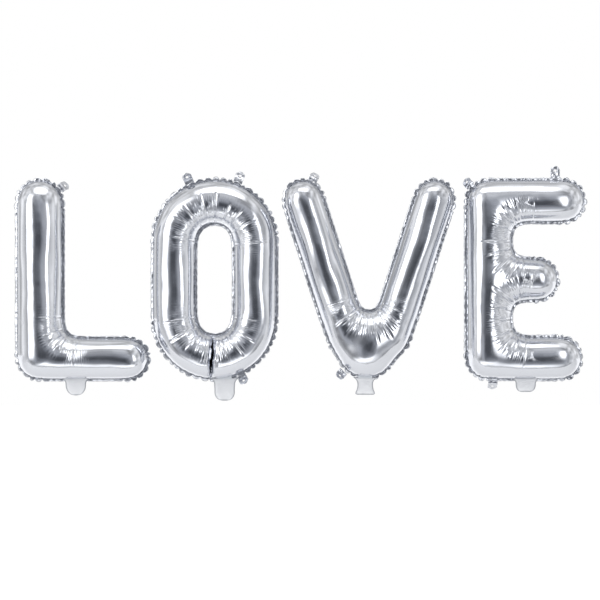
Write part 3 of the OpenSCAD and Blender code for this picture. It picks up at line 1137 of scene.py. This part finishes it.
def tab_piece(mount, number):
    """A punched tab: a crumpled ear that grows from the rim, with a round hole."""
    hole = Vector(mount["pos_m"])
    node = tab_node(hole)
    rim = frame["nodes"][RIM_NODE[node[0]]].data
    faces = BVHTree.FromPolygons(
        [v.co for v in rim.vertices], [tuple(f.vertices) for f in rim.polygons])
    root = faces.find_nearest(hole)[0]
    reach = (hole - root).length
    out = flat(hole.x - root.x, hole.z - root.z).normalized()
    side = Vector((out.z, 0, -out.x))
    hole_r, tab_r, rings = mount["dims"]["r_mm"] * MM, 8 * MM, 6
    overlap, bend_over, crumple, crumple_size = 3 * MM, 9 * MM, 0.9 * MM, 8 * MM
    fold = math.radians(TAB_FOLDS[node])
    bm = bmesh.new()
    ring = bmesh.ops.create_circle(bm, segments=ROUND, radius=hole_r)["verts"]
    angles = [math.atan2(v.co.y, v.co.x) for v in ring]
    edges = list(bm.edges)
    for step in range(rings + 1):
        if step:
            ring, edges = extruded(bm, ring, edges)
        for vert, angle in zip(ring, angles):
            edge = tab_r * (1 + 0.045 * math.sin(5 * angle + number))
            if math.cos(angle) < 0:
                sideways = tab_r / max(abs(math.sin(angle)), 0.01)
                edge = min(sideways, (reach + overlap) / -math.cos(angle))
            r = hole_r + (edge - hole_r) * step / rings
            spot = out * (r * math.cos(angle)) + side * (r * math.sin(angle))
            lift = noise.noise(Vector((spot.x, number * MM, spot.z)) / crumple_size)
            lift *= crumple * step / rings
            from_root = max(0.0, reach + r * math.cos(angle))
            bent = fold * ramp(from_root, 0, bend_over)
            spot += out * from_root * (math.cos(bent) - 1)
            spot.y += from_root * math.sin(bent) + lift
            vert.co = hole + spot
    bmesh.ops.recalc_face_normals(bm, faces=bm.faces)
    tab = new_object(node.replace("_tab", "_ear"), bm)
    wall = tab.modifiers.new("wall", "SOLIDIFY")
    wall.thickness = 0.4 * MM
    wall.offset = 0
    place_piece(tab, "letter_" + node[0], node, "weld")


# ---------------------------------------------------------------- operators


def build_letter(letter):
    """Inflates one letter and cuts it into its panels and welded rims."""
    scene = bpy.context.scene
    sizes, settings = scene.balloon_sizes, scene.balloon_inflate
    seed = LETTERS.index(letter) + 11
    body = tube_body(letter, sizes)
    round_notches(body, read_seam(body, sizes, seed))
    seam = read_seam(body, sizes, seed)
    inflate(body, seam, settings, seed)
    finer = body.modifiers.new("finer", "SUBSURF")
    finer.levels = finer.render_levels = 1
    apply_modifiers(body)
    seam = read_seam(body, sizes, seed)
    pleat(body, letter, seam, sizes)
    rides = "letter_" + letter
    for side, word in ((FRONT, "front"), (BACK, "back")):
        panel = film_panel(body, f"{letter}_{word}_film", side, sizes)
        place_piece(panel, rides, f"{letter}_{word}_panel", "film")
    band = weld_band(body, seam, 0, letter + "_rim_band", sizes)
    place_piece(band, rides, RIM_NODE[letter], "weld")
    if letter == "o":
        band = weld_band(body, seam, 1, "o_hole_band", sizes)
        place_piece(band, rides, "o_inner_rim", "weld")
    bpy.data.objects.remove(body)


class BALLOON_OT_letter_l(bpy.types.Operator):
    """Build the inflated letter L"""
    bl_idname = "balloon.letter_l"
    bl_label = "Letter L"

    def execute(self, context):
        build_letter("l")
        return {"FINISHED"}


class BALLOON_OT_letter_o(bpy.types.Operator):
    """Build the inflated letter O"""
    bl_idname = "balloon.letter_o"
    bl_label = "Letter O"

    def execute(self, context):
        build_letter("o")
        return {"FINISHED"}


class BALLOON_OT_letter_v(bpy.types.Operator):
    """Build the inflated letter V"""
    bl_idname = "balloon.letter_v"
    bl_label = "Letter V"

    def execute(self, context):
        build_letter("v")
        return {"FINISHED"}


class BALLOON_OT_letter_e(bpy.types.Operator):
    """Build the inflated letter E"""
    bl_idname = "balloon.letter_e"
    bl_label = "Letter E"

    def execute(self, context):
        build_letter("e")
        return {"FINISHED"}


class BALLOON_OT_tails(bpy.types.Operator):
    """Build the four filling tails"""
    bl_idname = "balloon.tails"
    bl_label = "Filling tails"

    def execute(self, context):
        for letter in LETTERS:
            tail_piece(letter)
        return {"FINISHED"}


class BALLOON_OT_tabs(bpy.types.Operator):
    """Build the punched tabs"""
    bl_idname = "balloon.tabs"
    bl_label = "Punched tabs"

    def execute(self, context):
        bores = [m for m in frame["record"]["mounts"] if m["kind"] == "bore"]
        for number, mount in enumerate(bores):
            tab_piece(mount, number)
        return {"FINISHED"}


class BALLOON_OT_valves(bpy.types.Operator):
    """Give the valve sleeves their clear film"""
    bl_idname = "balloon.valves"
    bl_label = "Valve sleeves"

    def execute(self, context):
        for letter in LETTERS:
            sleeve = frame["nodes"][letter + "_valve_sleeve"]
            sleeve.data.materials.clear()
            sleeve.data.materials.append(material_for("valve"))
        return {"FINISHED"}


class BALLOON_OT_stage(bpy.types.Operator):
    """Set the floor, the lights and the camera"""
    bl_idname = "balloon.stage"
    bl_label = "Stage"

    def execute(self, context):
        build_floor()
        build_world()
        build_lights()
        build_camera()
        context.scene.view_settings.view_transform = "Standard"
        return {"FINISHED"}


def build_floor():
    """A white floor that ends in front of the letters, so that the film reflects a darker room."""
    bm = bmesh.new()
    front, back, half, height = -0.5, 9.0, 8.0, -0.75
    middle = Matrix.Translation((0, (front + back) / 2, height))
    shape = Matrix.Diagonal((half, (back - front) / 2, 1, 1))
    bmesh.ops.create_grid(bm, x_segments=4, y_segments=4, size=1.0, matrix=middle @ shape)
    floor = new_object("studio_floor", bm)
    floor.data.materials.append(material_for("floor"))


# Brightness of the room by the cosine of the angle from the camera's side, from behind to front
ROOM = [
    (-1.0, 0.3), (-0.9, 0.5), (-0.6, 0.8), (0.0, 0.9), (0.3, 0.76),
    (0.55, 0.6), (0.78, 0.46), (0.92, 0.31), (0.975, 0.18), (1.0, 0.1),
]


def build_world():
    """White surroundings that darken towards the camera and, less so, behind the letters."""
    world = bpy.data.worlds.new("studio")
    bpy.context.scene.world = world
    world.use_nodes = True
    tree = world.node_tree
    tree.nodes.clear()
    way = add_node(tree, "ShaderNodeTexCoord")
    # The darkest direction lies a little below the camera's
    turned = add_node(
        tree, "ShaderNodeMapping", {"vector_type": "POINT"},
        {"Vector": way.outputs["Generated"], "Rotation": (math.radians(-7), 0, 0)})
    split = add_node(tree, "ShaderNodeSeparateXYZ", {}, {"Vector": turned.outputs[0]})
    front = add_node(
        tree, "ShaderNodeMath", {"operation": "MULTIPLY"}, {0: split.outputs["Y"], 1: -1.0})
    place = add_node(tree, "ShaderNodeMapRange", {}, {"Value": front.outputs[0], "From Min": -1.0})
    shade = add_node(tree, "ShaderNodeValToRGB", {}, {"Fac": place.outputs[0]})
    stops = shade.color_ramp
    stops.interpolation = "EASE"
    while len(stops.elements) < len(ROOM):
        stops.elements.new(0.5)
    for stop, (cosine, level) in zip(stops.elements, ROOM):
        stop.position = (cosine + 1) / 2
        # The darker the room, the bluer it is
        cool = 1 + 0.28 * (1 - level) ** 2
        stop.color = (level, level * (1 + 0.3 * (cool - 1)), level * cool, 1)
    # Soft, shapeless differences in the room break up the even shade
    cloud = add_node(
        tree, "ShaderNodeTexNoise", {},
        {"Vector": way.outputs["Generated"], "Scale": 2.6, "Detail": 1.0})
    uneven = add_node(
        tree, "ShaderNodeMapRange", {},
        {"Value": cloud.outputs["Fac"], "From Min": 0.32, "From Max": 0.68,
         "To Min": 0.55, "To Max": 1.4})
    room_light = add_node(
        tree, "ShaderNodeBackground", {},
        {"Color": shade.outputs["Color"], "Strength": uneven.outputs[0]})
    paper = add_node(tree, "ShaderNodeBackground", {}, {"Color": (1, 1, 1, 1), "Strength": 1.0})
    path = add_node(tree, "ShaderNodeLightPath")
    mix = add_node(
        tree, "ShaderNodeMixShader", {},
        {0: path.outputs["Is Camera Ray"], 1: room_light.outputs[0], 2: paper.outputs[0]})
    output = add_node(tree, "ShaderNodeOutputWorld")
    tree.links.new(mix.outputs[0], output.inputs["Surface"])


def softbox(name, azimuth, elevation, distance, width, height, level):
    """A softbox that faces the letters, brightest in its middle.

    Azimuth and elevation are in degrees, the rest in metres; azimuth 0 is the camera's side.
    """
    light = bpy.data.lights.new(name, "AREA")
    light.shape = "RECTANGLE"
    light.size, light.size_y = width, height
    light.energy = level * math.pi * width * height
    light.use_nodes = True
    tree = light.node_tree
    tree.nodes.clear()
    place = add_node(tree, "ShaderNodeNewGeometry")
    split = add_node(tree, "ShaderNodeSeparateXYZ", {}, {"Vector": place.outputs["Parametric"]})
    fades = []
    # Share of the width and of the height that is fully bright
    for axis, solid in (("X", 0.3), ("Y", 0.1)):
        off = add_node(
            tree, "ShaderNodeMath", {"operation": "SUBTRACT"}, {0: split.outputs[axis], 1: 0.5})
        far = add_node(tree, "ShaderNodeMath", {"operation": "ABSOLUTE"}, {0: off.outputs[0]})
        fade = add_node(
            tree, "ShaderNodeMapRange", {"interpolation_type": "SMOOTHSTEP"},
            {"Value": far.outputs[0], "From Min": 0.5, "From Max": solid * 0.5})
        fades.append(fade.outputs[0])
    both = add_node(tree, "ShaderNodeMath", {"operation": "MULTIPLY"}, {0: fades[0], 1: fades[1]})
    glow = add_node(tree, "ShaderNodeEmission", {}, {"Strength": both.outputs[0]})
    output = add_node(tree, "ShaderNodeOutputLight")
    tree.links.new(glow.outputs[0], output.inputs["Surface"])
    lamp = bpy.data.objects.new(name, light)
    a, e = math.radians(azimuth), math.radians(elevation)
    way = Vector((math.sin(a) * math.cos(e), -math.cos(a) * math.cos(e), math.sin(e)))
    lamp.location = distance * way
    lamp.rotation_euler = lamp.location.to_track_quat("Z", "Y").to_euler()
    bpy.context.scene.collection.objects.link(lamp)


def build_lights():
    """Softboxes at the left and right, a large one overhead, and a weak one low in front."""
    softbox("left_softbox", -48, 14, 2.2, 1.5, 3.4, 2.6)
    softbox("right_softbox", 34, 6, 1.6, 0.58, 1.5, 2.4)
    softbox("top_softbox", -4, 68, 2.2, 2.4, 1.4, 2.6)
    softbox("low_softbox", 0, -45, 1.1, 1.9, 0.44, 1.3)


def build_camera():
    """A camera straight in front, framed as wide as the word and a little below its middle."""
    camera = bpy.data.cameras.new("camera")
    distance, frame_w, aside, below = 3.0, 1.02, -0.85 * MM, -26.9 * MM
    camera.angle = 2 * math.atan(frame_w / 2 / distance)
    eye = bpy.data.objects.new("camera", camera)
    eye.location = (aside, -distance, below)
    eye.rotation_euler = (math.radians(90), 0, 0)
    bpy.context.scene.collection.objects.link(eye)
    bpy.context.scene.camera = eye


class BALLOON_PT_panel(bpy.types.Panel):
    """Lists the pieces in build order"""
    bl_idname = "BALLOON_PT_panel"
    bl_label = "Foil letter balloons"
    bl_space_type = "VIEW_3D"
    bl_region_type = "UI"
    bl_category = "Balloons"

    def draw(self, context):
        for step in STEPS:
            self.layout.operator(step.bl_idname)


STEPS = (
    BALLOON_OT_letter_l, BALLOON_OT_letter_o, BALLOON_OT_letter_v, BALLOON_OT_letter_e,
    BALLOON_OT_tails, BALLOON_OT_tabs, BALLOON_OT_valves, BALLOON_OT_stage,
)
CLASSES = (BalloonSizes, InflateSettings, FinishColours) + STEPS + (BALLOON_PT_panel,)


def register():
    for item in CLASSES:
        bpy.utils.register_class(item)
    bpy.types.Scene.balloon_sizes = bpy.props.PointerProperty(type=BalloonSizes)
    bpy.types.Scene.balloon_inflate = bpy.props.PointerProperty(type=InflateSettings)
    bpy.types.Scene.balloon_colours = bpy.props.PointerProperty(type=FinishColours)


def unregister():
    del bpy.types.Scene.balloon_colours
    del bpy.types.Scene.balloon_inflate
    del bpy.types.Scene.balloon_sizes
    for item in reversed(CLASSES):
        bpy.utils.unregister_class(item)


def main():
    register()
    for step in STEPS:
        category, name = step.bl_idname.split(".")
        getattr(getattr(bpy.ops, category), name)()


if __name__ == "__main__":
    main()
